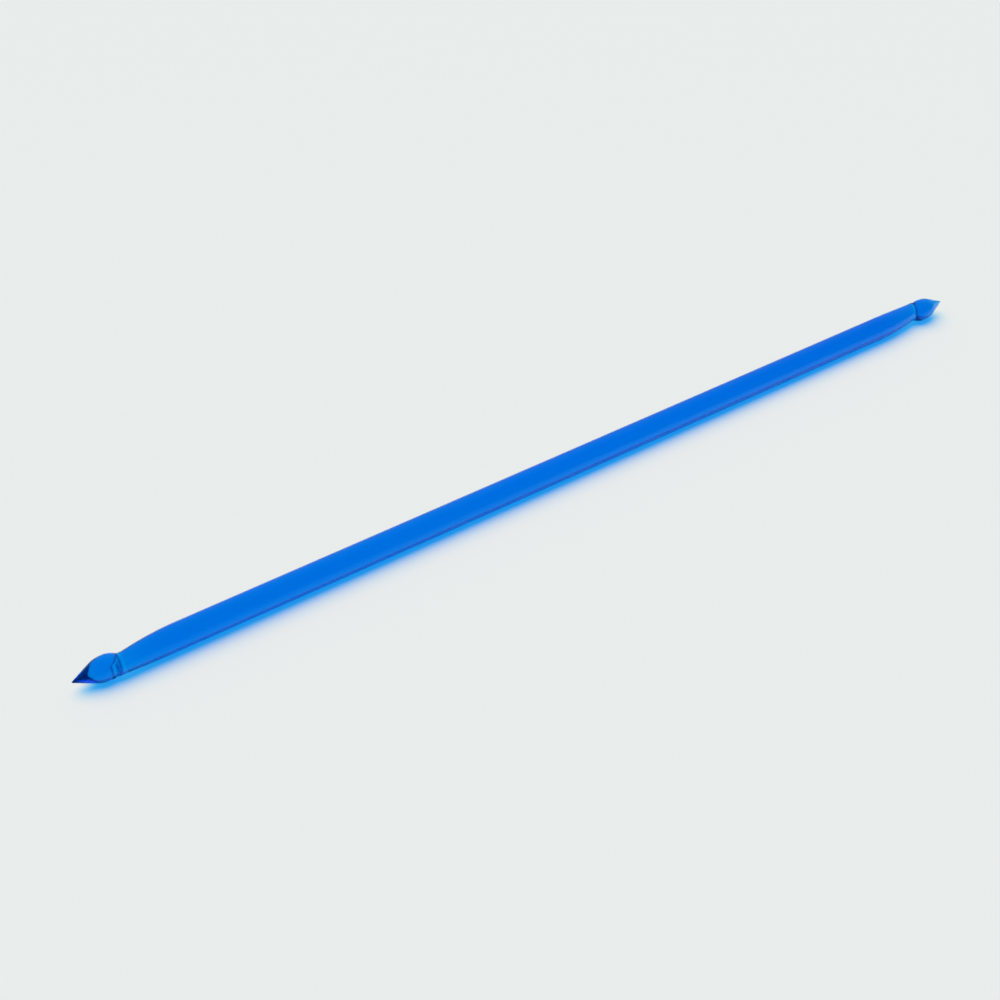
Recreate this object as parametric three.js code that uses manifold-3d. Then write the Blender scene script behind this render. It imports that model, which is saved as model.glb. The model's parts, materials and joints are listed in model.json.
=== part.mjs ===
// A double-ended crochet hook, in millimetres.
//
// The real thing is one solid rod of clear blue acrylic, worked to a pointed hook head at each end.
// It has no second piece, so it is one mesh. The rod lies along X on the plane z = 0, with the origin
// under its middle. The hook at the low-X end opens towards +Y and the one at the high-X end towards
// -Y, so half a turn about Z swaps the two ends.
//
// The shaft and its two necks are one loft through cross sections that stand square to the rod. Each
// head is a turned form with the rod's axis, and the neck runs into its back. The three are joined
// into a single solid, which leaves a crease all round where the neck meets the head.

import * as THREE from 'three';
import { LoftGeometry } from 'three/addons/geometries/LoftGeometry.js';
import { mergeVertices } from 'three/addons/utils/BufferGeometryUtils.js';
import Module from 'manifold-3d';

// Driving dimensions of the rod.
const OVERALL_LENGTH = 254;
const ROD_DIAMETER = 6;

// The head. Each length along the rod starts where the one before it ends, beginning at the tip.
const TIP_RADIUS = 0.18;
const POINT_HALF_ANGLE = 24.9;      // degrees, between the cone and the rod's axis
const HEAD_INSET = 0.19;            // how far the head's side stays inside the rod's round
const SHOULDER_POWER = 10;          // how tightly the cone turns into the head's side
const HEAD_LAND = 2;                // from the end of the cone to where the back starts to draw in
const HEAD_BACK_LENGTH = 4;         // from there to where the back closes on the axis
const HEAD_BACK_POWER = 1.83;       // 2 makes the back an ellipse, and less makes it more pointed

// The waist, where the neck is drawn in all round behind the head.
const WAIST_BEHIND_LAND = 0.45;     // from the end of the head's land to the waist
const WAIST_DEPTH = 0.45;
const WAIST_LENGTH = 1.1;           // from the waist back out to the rod's full width

// The throat, the scoop on the mouth side that holds the yarn.
const THROAT_DEPTH = 1.37;
const THROAT_FLOOR_LENGTH = 3.4;    // from the waist to where the floor starts to rise
const THROAT_RAMP_LENGTH = 13.1;    // from there to the rod's surface
const THROAT_RAMP_POWER = 1.91;     // 1 is a straight ramp, and more is steeper near the head

// How finely the surface is cut into faces. SIDES is a multiple of four, so that a face looks straight
// down and the hook lies on it.
const SIDES = 12;
const TIP_RINGS = 3;
const POINT_RINGS = 9;
const HEAD_BACK_RINGS = 9;
const WAIST_RINGS = 4;
const RAMP_RINGS = 6;
const LEAST_STEP = 0.05;           // between two cross sections

const ROD_RADIUS = ROD_DIAMETER / 2;
const HALF_LENGTH = OVERALL_LENGTH / 2;
const CONE = THREE.MathUtils.degToRad(POINT_HALF_ANGLE);

// The mouth's direction at each end, as a sign along Y.
const LOW_END_MOUTH = 1;
const HIGH_END_MOUTH = -1;

// A round section is a polygon whose flats lie on the true round. Its corners stand this much out.
const CORNER_REACH = 1 / Math.cos(Math.PI / SIDES);
const HALF_SIDE = Math.PI / SIDES;

// Places along the rod, as distances from the tip.
const headRadius = ROD_RADIUS - HEAD_INSET;
const tipRoundEnd = TIP_RADIUS * (1 - Math.sin(CONE));
const coneEnd = tipRoundEnd + (headRadius - TIP_RADIUS * Math.cos(CONE)) / Math.tan(CONE);
const landEnd = coneEnd + HEAD_LAND;
const headBackEnd = landEnd + HEAD_BACK_LENGTH;
const waistAt = landEnd + WAIST_BEHIND_LAND;
const waistEnd = waistAt + WAIST_LENGTH;
const rampStart = waistAt + THROAT_FLOOR_LENGTH;
const rampEnd = rampStart + THROAT_RAMP_LENGTH;

const wasm = await Module();
wasm.setup();

// The smaller of two sizes, with the corner between them rounded: more power, less rounding.
function roundedMin(a, b, power) {
  return (a ** -power + b ** -power) ** (-1 / power);
}

// Evenly spaced values from one to another. The first one is left out.
function steps(from, to, count) {
  return Array.from({ length: count }, (_, i) => from + ((to - from) * (i + 1)) / count);
}

// Values in rising order, without those that nearly repeat the one before.
function inOrder(values) {
  const sorted = [...values].sort((a, b) => a - b);
  return sorted.filter((value, i) => i === 0 || value - sorted[i - 1] > LEAST_STEP);
}

// Radius of the head up to the end of its land: a rounded tip, a cone and the shoulder.
function pointRadius(fromTip) {
  if (fromTip < tipRoundEnd) {
    return Math.sqrt(TIP_RADIUS ** 2 - (TIP_RADIUS - fromTip) ** 2);
  }
  const onCone = TIP_RADIUS * Math.cos(CONE) + (fromTip - tipRoundEnd) * Math.tan(CONE);
  return roundedMin(onCone, headRadius, SHOULDER_POWER);
}

// Radius of the head's back at a share of its length, from the land to the axis.
function backRadius(share) {
  return pointRadius(landEnd) * (1 - share ** HEAD_BACK_POWER) ** (1 / HEAD_BACK_POWER);
}

// Distance from the rod's axis to the neck's spine, which swells from the waist to the full rod.
function spineReach(fromTip) {
  const swell = THREE.MathUtils.smoothstep(fromTip, waistAt, waistEnd);
  return ROD_RADIUS - WAIST_DEPTH * (1 - swell);
}

// Distance from the rod's axis to the throat's floor, towards the mouth.
function floorReach(fromTip) {
  const share = THREE.MathUtils.clamp((fromTip - rampStart) / THROAT_RAMP_LENGTH, 0, 1);
  const floor = ROD_RADIUS - THROAT_DEPTH * (1 - share) ** THROAT_RAMP_POWER;
  return Math.min(floor, spineReach(fromTip));
}

// One cross section of the neck or rod: a round one that runs from the spine to the throat's floor, so
// in the throat its middle lies off the rod's axis, towards the spine.
function neckSection(fromTip, x, mouth) {
  const radius = (spineReach(fromTip) + floorReach(fromTip)) / 2;
  const middle = (mouth * (floorReach(fromTip) - spineReach(fromTip))) / 2;
  const corner = CORNER_REACH * radius;
  return Array.from({ length: SIDES }, (_, i) => {
    const angle = HALF_SIDE + (i * 2 * Math.PI) / SIDES;
    return new THREE.Vector3(x, middle + corner * Math.cos(angle), corner * Math.sin(angle));
  });
}

// The shaft with a neck at each end. Its end faces lie inside the heads.
function shaftGeometry() {
  const stations = inOrder([
    landEnd,
    waistAt,
    ...steps(waistAt, waistEnd, WAIST_RINGS),
    rampStart,
    ...steps(rampStart, rampEnd, RAMP_RINGS),
  ]);
  const low = stations.map((s) => neckSection(s, s - HALF_LENGTH, LOW_END_MOUTH));
  const high = stations.map((s) => neckSection(s, HALF_LENGTH - s, HIGH_END_MOUTH));
  return new LoftGeometry([...low, ...high.reverse()], { capStart: true, capEnd: true });
}

// A head turned about X, with its tip at x = 0 and its back towards +X.
function headGeometry() {
  const tip = steps(0, Math.PI / 2 - CONE, TIP_RINGS).map((turn) => TIP_RADIUS * (1 - Math.cos(turn)));
  const point = steps(tipRoundEnd, landEnd, POINT_RINGS);
  const front = [...tip, ...point].map((s) => new THREE.Vector2(pointRadius(s) * CORNER_REACH, s));
  const back = steps(0, Math.PI / 2, HEAD_BACK_RINGS - 1).map((turn) => {
    const share = Math.sin(turn);
    return new THREE.Vector2(backRadius(share) * CORNER_REACH, landEnd + share * HEAD_BACK_LENGTH);
  });
  back[back.length - 1].set(0, headBackEnd);
  const profile = [new THREE.Vector2(0, 0), ...front, ...back];
  return new THREE.LatheGeometry(profile, SIDES, HALF_SIDE).rotateZ(-Math.PI / 2);
}

// A closed geometry as a solid, with only its positions left and its shared corners merged.
function solidOf(geometry) {
  const bare = new THREE.BufferGeometry();
  bare.setAttribute('position', geometry.getAttribute('position'));
  bare.setIndex(geometry.getIndex());
  const merged = mergeVertices(bare);
  return new wasm.Manifold(new wasm.Mesh({
    numProp: 3,
    vertProperties: merged.attributes.position.array,
    triVerts: new Uint32Array(merged.index.array),
  }));
}

// A solid as a geometry with flat faces.
function geometryOf(solid) {
  const mesh = solid.getMesh();
  const indexed = new THREE.BufferGeometry();
  indexed.setAttribute('position', new THREE.BufferAttribute(mesh.vertProperties, mesh.numProp));
  indexed.setIndex(new THREE.BufferAttribute(mesh.triVerts, 1));
  const geometry = indexed.toNonIndexed();
  geometry.computeVertexNormals();
  return geometry;
}

function hookGeometry() {
  const lowHead = headGeometry().translate(-HALF_LENGTH, 0, 0);
  const highHead = headGeometry().rotateZ(Math.PI).translate(HALF_LENGTH, 0, 0);
  const hook = solidOf(shaftGeometry()).add(solidOf(lowHead)).add(solidOf(highHead));
  return geometryOf(hook).translate(0, 0, ROD_RADIUS);
}

const clearBlueAcrylic = new THREE.MeshStandardMaterial({
  color: 0x016fec,
  roughness: 0.06,
  metalness: 0,
});

const crochetHook = new THREE.Mesh(hookGeometry(), clearBlueAcrylic);
crochetHook.name = 'crochet_hook';

const group = new THREE.Group();
group.add(crochetHook);

export default group;
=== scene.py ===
"""A double-ended crochet hook of clear blue acrylic, dressed for a picture. Lengths are in metres, +Z up.

The hook lies along X on the plane z = 0. Its one body is grown by a Geometry Nodes tree: a tube of rings
is placed by the same rules that shape the real hook, which are a turned head at each end, a drawn-in
waist and a scooped throat behind it, and a round shaft between the two.
"""

import json
import logging
import math
from dataclasses import dataclass, fields
from enum import Enum

import bpy
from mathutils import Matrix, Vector

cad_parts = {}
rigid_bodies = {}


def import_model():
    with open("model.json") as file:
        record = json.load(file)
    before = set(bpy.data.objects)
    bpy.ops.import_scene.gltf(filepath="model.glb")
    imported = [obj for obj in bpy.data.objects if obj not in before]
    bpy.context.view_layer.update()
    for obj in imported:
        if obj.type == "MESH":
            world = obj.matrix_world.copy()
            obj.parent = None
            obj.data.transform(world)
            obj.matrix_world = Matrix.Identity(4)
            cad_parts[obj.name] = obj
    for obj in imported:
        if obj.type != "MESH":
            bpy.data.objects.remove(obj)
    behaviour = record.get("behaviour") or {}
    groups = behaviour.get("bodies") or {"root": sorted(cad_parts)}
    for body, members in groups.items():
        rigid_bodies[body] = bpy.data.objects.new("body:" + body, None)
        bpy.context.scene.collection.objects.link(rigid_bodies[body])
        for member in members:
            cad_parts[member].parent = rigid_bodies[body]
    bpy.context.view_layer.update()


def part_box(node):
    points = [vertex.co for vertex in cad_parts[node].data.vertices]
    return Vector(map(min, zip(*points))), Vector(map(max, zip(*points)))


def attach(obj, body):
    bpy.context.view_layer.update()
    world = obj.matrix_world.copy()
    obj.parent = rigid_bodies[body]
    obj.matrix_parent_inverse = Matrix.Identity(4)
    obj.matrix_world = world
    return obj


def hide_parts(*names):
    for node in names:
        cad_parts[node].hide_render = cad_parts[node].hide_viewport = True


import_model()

MM = 0.001
NODE = "crochet_hook"
SLOT = "clear_blue_acrylic"
PAST_CREASE = "past_crease"

log = logging.getLogger("crochet_hook")


class Op(Enum):
    """An arithmetic step that a Math node can take."""

    ADD = "ADD"
    SUBTRACT = "SUBTRACT"
    MULTIPLY = "MULTIPLY"
    DIVIDE = "DIVIDE"
    POWER = "POWER"
    ROOT = "SQRT"
    SMALLER = "MINIMUM"
    LARGER = "MAXIMUM"
    SIZE = "ABSOLUTE"
    SINE = "SINE"
    COSINE = "COSINE"
    TANGENT = "TANGENT"
    MORE_THAN = "GREATER_THAN"


@dataclass(frozen=True)
class Field:
    """A number that can vary over the surface, held as an output socket of a node tree.

    Arithmetic on fields adds Math nodes to the tree, so a formula in the script reads as a formula.
    """

    tree: bpy.types.NodeTree
    socket: bpy.types.NodeSocket

    def step(self, op: Op, *others: "Field | float") -> "Field":
        """Adds one Math node that starts from this field.

        Args:
            op: The arithmetic step.
            others: The step's further inputs, as fields or plain numbers.

        Returns:
            The node's result.
        """
        return calculate(self.tree, op, self, *others)

    def __add__(self, other: "Field | float") -> "Field":
        """The sum of this and another."""
        return self.step(Op.ADD, other)

    def __radd__(self, other: float) -> "Field":
        """The sum of a plain number and this."""
        return self.step(Op.ADD, other)

    def __sub__(self, other: "Field | float") -> "Field":
        """This less another."""
        return self.step(Op.SUBTRACT, other)

    def __rsub__(self, other: float) -> "Field":
        """A plain number less this."""
        return calculate(self.tree, Op.SUBTRACT, other, self)

    def __mul__(self, other: "Field | float") -> "Field":
        """The product of this and another."""
        return self.step(Op.MULTIPLY, other)

    def __rmul__(self, other: float) -> "Field":
        """The product of a plain number and this."""
        return self.step(Op.MULTIPLY, other)

    def __truediv__(self, other: "Field | float") -> "Field":
        """This over another."""
        return self.step(Op.DIVIDE, other)

    def __rtruediv__(self, other: float) -> "Field":
        """A plain number over this."""
        return calculate(self.tree, Op.DIVIDE, other, self)

    def __pow__(self, power: "Field | float") -> "Field":
        """This to a power."""
        return self.step(Op.POWER, power)

    def root(self) -> "Field":
        """The square root of this."""
        return self.step(Op.ROOT)

    def at_most(self, limit: "Field | float") -> "Field":
        """This, or the limit where that is smaller."""
        return self.step(Op.SMALLER, limit)

    def at_least(self, limit: "Field | float") -> "Field":
        """This, or the limit where that is larger."""
        return self.step(Op.LARGER, limit)

    def as_share(self) -> "Field":
        """This, held between 0 and 1."""
        return self.at_least(0.0).at_most(1.0)

    def where(self, is_true: "Field", otherwise: "Field") -> "Field":
        """This where a field is 1, and another where it is 0."""
        return self * is_true + otherwise * (1.0 - is_true)


def calculate(tree: bpy.types.NodeTree, op: Op, *values: "Field | float") -> Field:
    """Adds one Math node to a tree.

    Args:
        tree: The tree that gets the node.
        op: The arithmetic step.
        values: The node's inputs in order, as fields or plain numbers.

    Returns:
        The node's result.
    """
    node = tree.nodes.new("ShaderNodeMath")
    node.operation = op.value
    for socket, value in zip(node.inputs, values):
        if isinstance(value, Field):
            tree.links.new(value.socket, socket)
        else:
            socket.default_value = value
    return Field(tree, node.outputs[0])


def smooth_step(value: Field, start: Field, end: Field) -> Field:
    """An S-shaped rise from 0 to 1.

    Args:
        value: Where on the rise.
        start: The value that gives 0.
        end: The value that gives 1.

    Returns:
        The height of the rise.
    """
    share = ((value - start) / (end - start)).as_share()
    return share * share * (3.0 - 2.0 * share)


@dataclass(frozen=True)
class HookSizes:
    """The hook's sizes, each of which is a named input of its tree.

    Lengths along the rod run from the tip towards the middle. Each field's name becomes its input's name.
    """

    length: float
    diameter: float
    tip_radius: float = 0.18 * MM
    point_half_angle: float = math.radians(24.9)
    head_inset: float = 0.19 * MM
    shoulder_power: float = 10.0
    head_land: float = 2.0 * MM
    head_back_length: float = 4.0 * MM
    head_back_power: float = 1.83
    waist_behind_land: float = 0.45 * MM
    waist_depth: float = 0.45 * MM
    waist_length: float = 1.1 * MM
    throat_depth: float = 1.37 * MM
    throat_floor_length: float = 3.4 * MM
    throat_ramp_length: float = 13.1 * MM
    throat_ramp_power: float = 1.91
    crease_fillet: float = 0.06 * MM
    # Width of the bands in which the material paints a shade and a highlight along the crease.
    crease_reach: float = 0.45 * MM

    @classmethod
    def from_frame(cls) -> "HookSizes":
        """The sizes of the rod in the frame, with the head and throat that belong to it."""
        low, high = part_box(NODE)
        return cls(length=high.x - low.x, diameter=high.z - low.z)


@dataclass(frozen=True)
class Rings:
    """How finely the tube is divided, and how its rings are spread along the hook.

    Counts are for one half of the hook, except sides. A crowding of 1 spreads the head's rings evenly,
    and more draws them towards the tip or the crease. On the shaft, the near share of the length is
    spread evenly over the rings, and the rest by a power that thins them out towards the middle.
    """

    sides: int = 128
    on_head: int = 120
    behind_head: int = 150
    first_ring: float = 0.002 * MM
    crease_search_steps: int = 8
    tip_crowding: float = 1.5
    crease_crowding: float = 1.35
    near_share: float = 0.2
    shaft_power: float = 6.0
    least_radius: float = 0.01 * MM


class HookForm:
    """The tree that grows the hook's body from its sizes."""

    def __init__(self, sizes: HookSizes, rings: Rings, material: bpy.types.Material) -> None:
        """Builds the tree.

        Args:
            sizes: Gives the inputs and their values.
            rings: How finely the tube is divided.
            material: The finish that the tree puts on the body.
        """
        self.rings = rings
        self.tree = bpy.data.node_groups.new("hook_form", "GeometryNodeTree")
        self.inputs: dict[str, str] = {}
        interface = self.tree.interface
        interface.new_socket(name="Geometry", in_out="INPUT", socket_type="NodeSocketGeometry")
        for item in fields(sizes):
            name = item.name.replace("_", " ").capitalize()
            socket = interface.new_socket(name=name, in_out="INPUT", socket_type="NodeSocketFloat")
            self.inputs[item.name] = socket.identifier
        interface.new_socket(name="Geometry", in_out="OUTPUT", socket_type="NodeSocketGeometry")
        group_input = self.tree.nodes.new("NodeGroupInput")
        outputs = {socket.identifier: socket for socket in group_input.outputs}
        self.size = {name: Field(self.tree, outputs[identifier]) for name, identifier in self.inputs.items()}
        self.work_out_places()
        self.connect(material)

    def work_out_places(self) -> None:
        """Works out the places along the rod that follow from the sizes."""
        size = self.size
        self.radius = size["diameter"] / 2.0
        self.half_length = size["length"] / 2.0
        self.head_radius = self.radius - size["head_inset"]
        cone_angle = size["point_half_angle"]
        self.slope = cone_angle.step(Op.TANGENT)
        self.tip_end = size["tip_radius"] * (1.0 - cone_angle.step(Op.SINE))
        self.tip_end_radius = size["tip_radius"] * cone_angle.step(Op.COSINE)
        cone_end = self.tip_end + (self.head_radius - self.tip_end_radius) / self.slope
        self.land_end = cone_end + size["head_land"]
        self.waist = self.land_end + size["waist_behind_land"]
        self.waist_end = self.waist + size["waist_length"]
        self.ramp_start = self.waist + size["throat_floor_length"]
        self.land_end_radius = self.shoulder_radius(self.land_end)

    def shoulder_radius(self, from_tip: Field) -> Field:
        """Radius of the cone as it turns into the head's side, past the rounded tip.

        Args:
            from_tip: The distance from the tip.

        Returns:
            The radius there.
        """
        power = self.size["shoulder_power"]
        cone = self.tip_end_radius + (from_tip - self.tip_end) * self.slope
        cone = cone.at_least(self.rings.least_radius)
        ratio = cone / self.head_radius
        return cone * (1.0 + ratio ** power) ** (-1.0 / power)

    def head_radius_at(self, from_tip: Field) -> Field:
        """Radius of the head: its tip, its shoulder or its back.

        Args:
            from_tip: The distance from the tip.

        Returns:
            The radius there.
        """
        tip_radius = self.size["tip_radius"]
        to_centre = (tip_radius - from_tip).at_least(0.0)
        tip = (tip_radius * tip_radius - to_centre * to_centre).at_least(0.0).root()
        on_tip = calculate(self.tree, Op.MORE_THAN, self.tip_end, from_tip)
        front = tip.where(on_tip, self.shoulder_radius(from_tip))
        share = ((from_tip - self.land_end) / self.size["head_back_length"]).as_share()
        power = self.size["head_back_power"]
        back = self.land_end_radius * (1.0 - share ** power).at_least(0.0) ** (1.0 / power)
        return back.where(from_tip.step(Op.MORE_THAN, self.land_end), front)

    def neck_radius_at(self, from_tip: Field, towards_mouth: Field, upward: Field) -> Field:
        """Distance from the axis to the neck or shaft, in one direction.

        Args:
            from_tip: The distance from the tip.
            towards_mouth: The direction's part towards the mouth, from -1 to 1.
            upward: The direction's other part, square to that.

        Returns:
            The distance from the axis.
        """
        swell = smooth_step(from_tip, self.waist, self.waist_end)
        spine = self.radius - self.size["waist_depth"] * (1.0 - swell)
        share = ((from_tip - self.ramp_start) / self.size["throat_ramp_length"]).as_share()
        scoop = self.size["throat_depth"] * (1.0 - share) ** self.size["throat_ramp_power"]
        floor = (self.radius - scoop).at_most(spine)
        round_radius = (spine + floor) / 2.0
        set_back = (spine - floor) / 2.0
        beside = upward * set_back
        return (round_radius * round_radius - beside * beside).root() - towards_mouth * set_back

    def crease_at(self, towards_mouth: Field, upward: Field) -> Field:
        """Where the neck runs into the back of the head, found by steps that each come nearer.

        Args:
            towards_mouth: The direction's part towards the mouth.
            upward: The direction's other part.

        Returns:
            The distance from the tip.
        """
        power = self.size["head_back_power"]
        place = self.waist
        for _ in range(self.rings.crease_search_steps):
            ratio = self.neck_radius_at(place, towards_mouth, upward) / self.land_end_radius
            share = (1.0 - ratio.at_most(1.0) ** power).at_least(0.0) ** (1.0 / power)
            place = self.land_end + share * self.size["head_back_length"]
        return place

    def ring_place(self, ring: Field, on_rim: Field, crease: Field) -> Field:
        """How far from the tip a ring lies.

        Rings crowd at the tip and at the crease, and thin out on the shaft.

        Args:
            ring: The ring's number, counted from the tip.
            on_rim: 0 at the tip's middle point, and 1 elsewhere.
            crease: Where the crease lies.

        Returns:
            The distance from the tip.
        """
        rings = self.rings
        fillet = self.size["crease_fillet"]
        head_share = (ring / (rings.on_head - 1.0)).as_share()
        crowded = 1.0 - (1.0 - head_share ** rings.tip_crowding).at_least(0.0) ** rings.crease_crowding
        to_crease = (ring - (rings.on_head - 1.0)).as_share() + (ring - float(rings.on_head)).as_share()
        shaft_share = ((ring - (rings.on_head + 1.0)) / (rings.behind_head - 1.0)).as_share()
        near, far = rings.near_share, 1.0 - rings.near_share
        spread = near * shaft_share + far * shaft_share ** rings.shaft_power
        tip_gap = rings.first_ring * on_rim * (1.0 - ring.as_share())
        return (
            tip_gap
            + (crease - fillet) * crowded
            + fillet * to_crease
            + (self.half_length - crease - fillet) * spread
        )

    def connect(self, material: bpy.types.Material) -> None:
        """Places a tube's points by the rules above and finishes the body.

        The tube starts as a plain cylinder along Z, of radius 1 and from -1 to 1. Its rings are numbered
        from either end to the middle.

        Args:
            material: The finish that the tree puts on the body.
        """
        tree, rings = self.tree, self.rings
        half = rings.on_head + rings.behind_head
        tube = tree.nodes.new("GeometryNodeMeshCylinder")
        tube.fill_type = "TRIANGLE_FAN"
        tube.inputs["Vertices"].default_value = rings.sides
        tube.inputs["Side Segments"].default_value = 2 * half
        tube.inputs["Radius"].default_value = 1.0
        tube.inputs["Depth"].default_value = 2.0
        position = tree.nodes.new("GeometryNodeInputPosition")
        parts = tree.nodes.new("ShaderNodeSeparateXYZ")
        tree.links.new(position.outputs[0], parts.inputs[0])
        side, upward, along = (Field(tree, socket) for socket in parts.outputs)
        on_rim = (side * side + upward * upward).root().as_share()
        end = 2.0 * along.step(Op.MORE_THAN, 0.0) - 1.0
        ring = (1.0 - along.step(Op.SIZE)) * float(half)
        towards_mouth = side * end * -1.0
        crease = self.crease_at(towards_mouth, upward)
        from_tip = self.ring_place(ring, on_rim, crease)
        on_head = calculate(tree, Op.MORE_THAN, rings.on_head + 0.5, ring)
        neck = self.neck_radius_at(from_tip, towards_mouth, upward)
        reach = self.head_radius_at(from_tip).where(on_head, neck)
        place = tree.nodes.new("ShaderNodeCombineXYZ")
        for socket, value in zip(
            place.inputs,
            (end * (self.half_length - from_tip), side * reach, self.radius + upward * reach),
        ):
            tree.links.new(value.socket, socket)
        # Distance past the crease, in crease reaches; the material reads it to paint a shade and a highlight
        # along the crease.
        past_crease = (from_tip - crease) / self.size["crease_reach"]
        marked = tree.nodes.new("GeometryNodeStoreNamedAttribute")
        marked.inputs["Name"].default_value = PAST_CREASE
        tree.links.new(past_crease.socket, marked.inputs["Value"])
        moved = tree.nodes.new("GeometryNodeSetPosition")
        tree.links.new(place.outputs[0], moved.inputs["Position"])
        smooth = tree.nodes.new("GeometryNodeSetShadeSmooth")
        realized = tree.nodes.new("GeometryNodeRealizeInstances")
        finish = tree.nodes.new("GeometryNodeSetMaterial")
        finish.inputs["Material"].default_value = material
        output = tree.nodes.new("NodeGroupOutput")
        chain = [tube, marked, moved, smooth, realized, finish, output]
        for before, after in zip(chain, chain[1:]):
            tree.links.new(before.outputs[0], after.inputs[0])


@dataclass
class CrochetHook:
    """The whole hook, which is one piece."""

    sizes: HookSizes
    rings: Rings
    finish: "ClearAcrylic"

    def build(self) -> bpy.types.Object:
        """Grows the body, turns it into a plain mesh and puts it in the place of its CAD node.

        Returns:
            The finished piece.
        """
        material = self.finish.material()
        form = HookForm(self.sizes, self.rings, material)
        piece = bpy.data.objects.new("hook_body", bpy.data.meshes.new("hook_body"))
        bpy.context.scene.collection.objects.link(piece)
        modifier = piece.modifiers.new("form", "NODES")
        modifier.node_group = form.tree
        for name, identifier in form.inputs.items():
            modifier[identifier] = float(getattr(self.sizes, name))
        depsgraph = bpy.context.evaluated_depsgraph_get()
        mesh = bpy.data.meshes.new_from_object(piece.evaluated_get(depsgraph))
        piece.modifiers.remove(modifier)
        piece.data = mesh
        mesh.name = "hook_body"
        mesh.materials.clear()
        mesh.materials.append(material)
        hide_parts(NODE)
        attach(piece, "root")
        log.info("hook_body: %d points, %d faces", len(mesh.vertices), len(mesh.polygons))
        return piece


@dataclass(frozen=True)
class Polish:
    """What polishing and handling leave on a plastic rod, as a node group that materials share.

    The group's vector is in object coordinates, with the rod along X.
    """

    streak_length: float = 70.0 * MM
    streak_width: float = 1.2 * MM
    swell_length: float = 30.0 * MM
    swell_width: float = 6.0 * MM
    haze_size: float = 4.0 * MM
    finer_layers: float = 2.0

    def group(self) -> bpy.types.NodeTree:
        """Builds the group.

        Returns:
            The group, which puts out Streak, Swell and Haze, each from 0 to 1.
        """
        tree = bpy.data.node_groups.new("polish", "ShaderNodeTree")
        tree.interface.new_socket(name="Vector", in_out="INPUT", socket_type="NodeSocketVector")
        source = tree.nodes.new("NodeGroupInput")
        sink = tree.nodes.new("NodeGroupOutput")
        marks = {
            "Streak": (self.streak_length, self.streak_width),
            "Swell": (self.swell_length, self.swell_width),
            "Haze": (self.haze_size, self.haze_size),
        }
        for name, (length, width) in marks.items():
            tree.interface.new_socket(name=name, in_out="OUTPUT", socket_type="NodeSocketFloat")
            scaled = tree.nodes.new("ShaderNodeVectorMath")
            scaled.operation = "DIVIDE"
            scaled.inputs[1].default_value = (length, width, width)
            noise = tree.nodes.new("ShaderNodeTexNoise")
            noise.inputs["Scale"].default_value = 1.0
            noise.inputs["Detail"].default_value = self.finer_layers
            tree.links.new(source.outputs["Vector"], scaled.inputs[0])
            tree.links.new(scaled.outputs[0], noise.inputs["Vector"])
            tree.links.new(noise.outputs[0], sink.inputs[name])
        return tree


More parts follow.
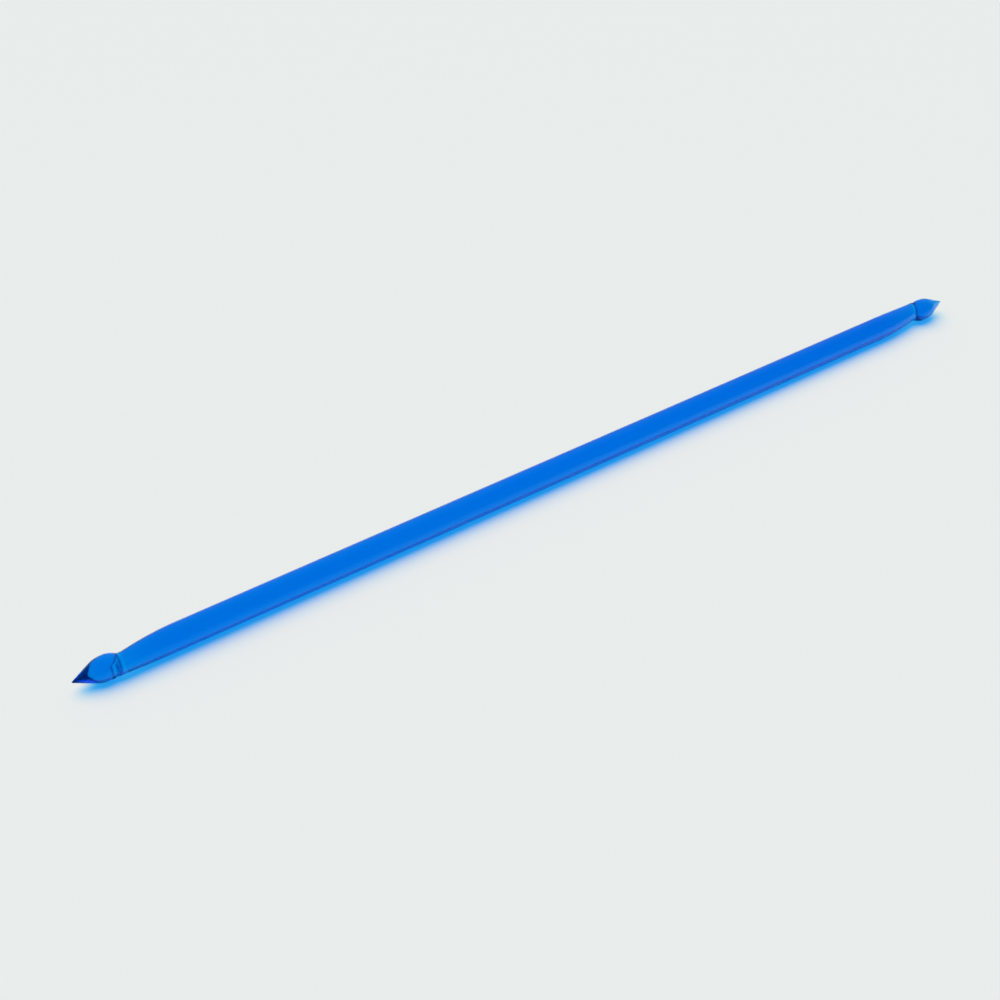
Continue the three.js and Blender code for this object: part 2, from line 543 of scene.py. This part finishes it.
@dataclass(frozen=True)
class ClearAcrylic:
    """Polished blue acrylic that is clear all through.

    Its colour deepens with the length of a ray's way through it. Lamps' light passes it straight, so that
    its shadow is blue. A painted shade, a dark line in the base colour, follows the crease behind each head,
    with a painted highlight, a light line, on the neck's side of it.
    """

    surface: tuple[float, float, float] = (0.0, 0.48, 1.0)
    # Painted shade: the dark colour laid along each crease.
    crease_surface: tuple[float, float, float] = (0.0, 0.04, 0.3)
    # Painted highlight: the light colour laid beside each crease.
    crease_rim: tuple[float, float, float] = (0.0, 0.75, 1.0)
    shadow_tint: tuple[float, float, float] = (0.5, 0.86, 1.0)
    reflection: tuple[float, float, float] = (0.0, 0.4, 1.0)
    depth_colour: tuple[float, float, float] = (0.0, 0.77, 0.998)
    depth_density: float = 600.0
    clearness: float = 0.95
    refraction: float = 1.49
    least_roughness: float = 0.01
    haze: float = 0.05
    haze_power: float = 2.0
    crease_roughness: float = 0.25
    # Where the painted highlight lies, in crease reaches past the crease.
    rim_place: float = 1.6
    streak_tone: float = 0.16
    streak_middle: float = 0.5
    streak_share: float = 0.25
    swell_height: float = 0.02 * MM

    def material(self) -> bpy.types.Material:
        """Makes the material.

        Returns:
            The material.
        """
        material = bpy.data.materials.new("polished_" + SLOT)
        material.use_nodes = True
        tree = material.node_tree
        shader = tree.nodes["Principled BSDF"]
        shader.inputs["IOR"].default_value = self.refraction
        shader.inputs["Transmission Weight"].default_value = self.clearness
        shader.inputs["Specular Tint"].default_value = (*self.reflection, 1.0)
        self.dress(tree, shader)
        self.fill(tree)
        self.let_lamps_through(tree, shader)
        return material

    def dress(self, tree: bpy.types.NodeTree, shader: bpy.types.ShaderNode) -> None:
        """Gives the surface its colour, gloss and slight swell, with a painted shade and a painted highlight
        along each crease.

        Args:
            tree: The material's tree.
            shader: Its shader.
        """
        place = tree.nodes.new("ShaderNodeTexCoord")
        polish = tree.nodes.new("ShaderNodeGroup")
        polish.node_tree = Polish().group()
        tree.links.new(place.outputs["Object"], polish.inputs[0])
        streak, swell, haze = (Field(tree, polish.outputs[name]) for name in ("Streak", "Swell", "Haze"))
        mark = tree.nodes.new("ShaderNodeAttribute")
        mark.attribute_name = PAST_CREASE
        past_crease = Field(tree, mark.outputs["Fac"])
        # Painted shade: a band along each crease where the base colour is darkened; the surface there is
        # also rougher.
        shaded_matt_crease_band = (1.0 - past_crease.step(Op.SIZE)).as_share()
        # Painted highlight: a light line in the base colour a little past the crease, on the neck's side.
        on_rim = (1.0 - (past_crease - self.rim_place).step(Op.SIZE)).as_share()
        tone = 1.0 + self.streak_tone * (streak - self.streak_middle)
        colour = tree.nodes.new("ShaderNodeCombineColor")
        for socket, clear, dark, light in zip(
            colour.inputs, self.surface, self.crease_surface, self.crease_rim
        ):
            # The painted shade, and then the painted highlight, take the place of the clear colour.
            channel = (clear * tone) * (1.0 - shaded_matt_crease_band) + dark * shaded_matt_crease_band
            channel = channel * (1.0 - on_rim) + light * on_rim
            tree.links.new(channel.socket, socket)
        tree.links.new(colour.outputs[0], shader.inputs["Base Color"])
        smudge = self.haze * (haze ** self.haze_power)
        roughness = self.least_roughness + smudge + self.crease_roughness * shaded_matt_crease_band
        tree.links.new(roughness.socket, shader.inputs["Roughness"])
        bump = tree.nodes.new("ShaderNodeBump")
        bump.inputs["Distance"].default_value = self.swell_height
        tree.links.new((swell + streak * self.streak_share).socket, bump.inputs["Height"])
        tree.links.new(bump.outputs[0], shader.inputs["Normal"])

    def fill(self, tree: bpy.types.NodeTree) -> None:
        """Fills the body with its tint.

        Args:
            tree: The material's tree.
        """
        volume = tree.nodes.new("ShaderNodeVolumeAbsorption")
        volume.inputs["Color"].default_value = (*self.depth_colour, 1.0)
        volume.inputs["Density"].default_value = self.depth_density
        tree.links.new(volume.outputs[0], tree.nodes["Material Output"].inputs["Volume"])

    def let_lamps_through(self, tree: bpy.types.NodeTree, shader: bpy.types.ShaderNode) -> None:
        """Lets light that falls on other things pass the body in a straight line, tinted on its way.

        Args:
            tree: The material's tree.
            shader: Its shader.
        """
        clear = tree.nodes.new("ShaderNodeBsdfTransparent")
        clear.inputs["Color"].default_value = (*self.shadow_tint, 1.0)
        path = tree.nodes.new("ShaderNodeLightPath")
        shadow = Field(tree, path.outputs["Is Shadow Ray"])
        lighting = shadow.at_least(Field(tree, path.outputs["Is Diffuse Ray"]))
        either = tree.nodes.new("ShaderNodeMixShader")
        tree.links.new(lighting.socket, either.inputs[0])
        tree.links.new(shader.outputs[0], either.inputs[1])
        tree.links.new(clear.outputs[0], either.inputs[2])
        tree.links.new(either.outputs[0], tree.nodes["Material Output"].inputs["Surface"])


@dataclass(frozen=True)
class Studio:
    """The pale floor, the soft light above it and the camera."""

    floor_colour: tuple[float, float, float] = (0.87, 0.88, 0.85)
    floor_roughness: float = 0.9
    floor_specular: float = 0.1
    floor_reach: float = 40.0
    sky_colour: tuple[float, float, float] = (0.35, 0.65, 1.0)
    sky_low: float = 0.06
    sky_high: float = 0.6
    sky_from: float = 0.1
    sky_to: float = 0.9
    sky_brightest: tuple[float, float, float] = (0.5, 0.86, 0.09)
    key_colour: tuple[float, float, float] = (1.0, 0.965, 0.915)
    key_strength: float = 2.92
    key_spread: float = math.radians(70.0)
    key_height: float = math.radians(70.0)
    camera_place: tuple[float, float, float] = (-0.22363751, -0.27305506, 0.25071637)
    camera_dip: float = math.radians(36.183403)
    camera_turn: float = math.radians(36.745647)
    camera_lens: float = 66.288296
    camera_sensor: float = 36.0
    camera_nearest: float = 0.01

    def build(self) -> None:
        """Makes the floor, the light and the camera."""
        self.floor()
        self.light()
        self.camera()

    def floor(self) -> None:
        """Lays a plain pale floor under the hook."""
        reach = self.floor_reach
        mesh = bpy.data.meshes.new("floor")
        corners = [(-reach, -reach, 0.0), (reach, -reach, 0.0), (reach, reach, 0.0), (-reach, reach, 0.0)]
        mesh.from_pydata(corners, [], [(0, 1, 2, 3)])
        floor = bpy.data.objects.new("floor", mesh)
        bpy.context.scene.collection.objects.link(floor)
        material = bpy.data.materials.new("matt_floor")
        material.use_nodes = True
        shader = material.node_tree.nodes["Principled BSDF"]
        shader.inputs["Base Color"].default_value = (*self.floor_colour, 1.0)
        shader.inputs["Roughness"].default_value = self.floor_roughness
        shader.inputs["Specular IOR Level"].default_value = self.floor_specular
        mesh.materials.append(material)
        log.info("floor: %.1f m wide", 2.0 * reach)

    def light(self) -> None:
        """Sets a cool sky that brightens towards the back, and one broad warm lamp above and behind."""
        world = bpy.data.worlds.new("studio")
        world.use_nodes = True
        tree = world.node_tree
        background = tree.nodes["Background"]
        background.inputs["Color"].default_value = (*self.sky_colour, 1.0)
        direction = tree.nodes.new("ShaderNodeTexCoord")
        facing = tree.nodes.new("ShaderNodeVectorMath")
        facing.operation = "DOT_PRODUCT"
        facing.inputs[1].default_value = Vector(self.sky_brightest).normalized()
        rise = tree.nodes.new("ShaderNodeMapRange")
        rise.interpolation_type = "SMOOTHSTEP"
        rise.inputs["From Min"].default_value = self.sky_from
        rise.inputs["From Max"].default_value = self.sky_to
        rise.inputs["To Min"].default_value = self.sky_low
        rise.inputs["To Max"].default_value = self.sky_high
        tree.links.new(direction.outputs["Generated"], facing.inputs[0])
        tree.links.new(facing.outputs["Value"], rise.inputs["Value"])
        tree.links.new(rise.outputs["Result"], background.inputs["Strength"])
        bpy.context.scene.world = world
        data = bpy.data.lights.new("key", "SUN")
        data.color = self.key_colour
        data.energy = self.key_strength
        data.angle = self.key_spread
        lamp = bpy.data.objects.new("key", data)
        lamp.visible_glossy = False
        bpy.context.scene.collection.objects.link(lamp)
        towards = -Vector((0.0, math.cos(self.key_height), math.sin(self.key_height)))
        lamp.rotation_euler = towards.to_track_quat("-Z", "Y").to_euler()

    def camera(self) -> None:
        """Places the camera where the photograph was taken from."""
        data = bpy.data.cameras.new("camera")
        data.sensor_width = self.camera_sensor
        data.lens = self.camera_lens
        data.clip_start = self.camera_nearest
        camera = bpy.data.objects.new("camera", data)
        bpy.context.scene.collection.objects.link(camera)
        camera.location = self.camera_place
        camera.rotation_euler = (math.pi / 2.0 - self.camera_dip, 0.0, -self.camera_turn)
        bpy.context.scene.camera = camera


def main() -> None:
    """Builds the hook and the studio round it."""
    logging.basicConfig(level=logging.INFO, format="%(name)s: %(message)s")
    bpy.context.scene.view_settings.view_transform = "Standard"
    Studio().build()
    CrochetHook(HookSizes.from_frame(), Rings(), ClearAcrylic()).build()


if __name__ == "__main__":
    main()
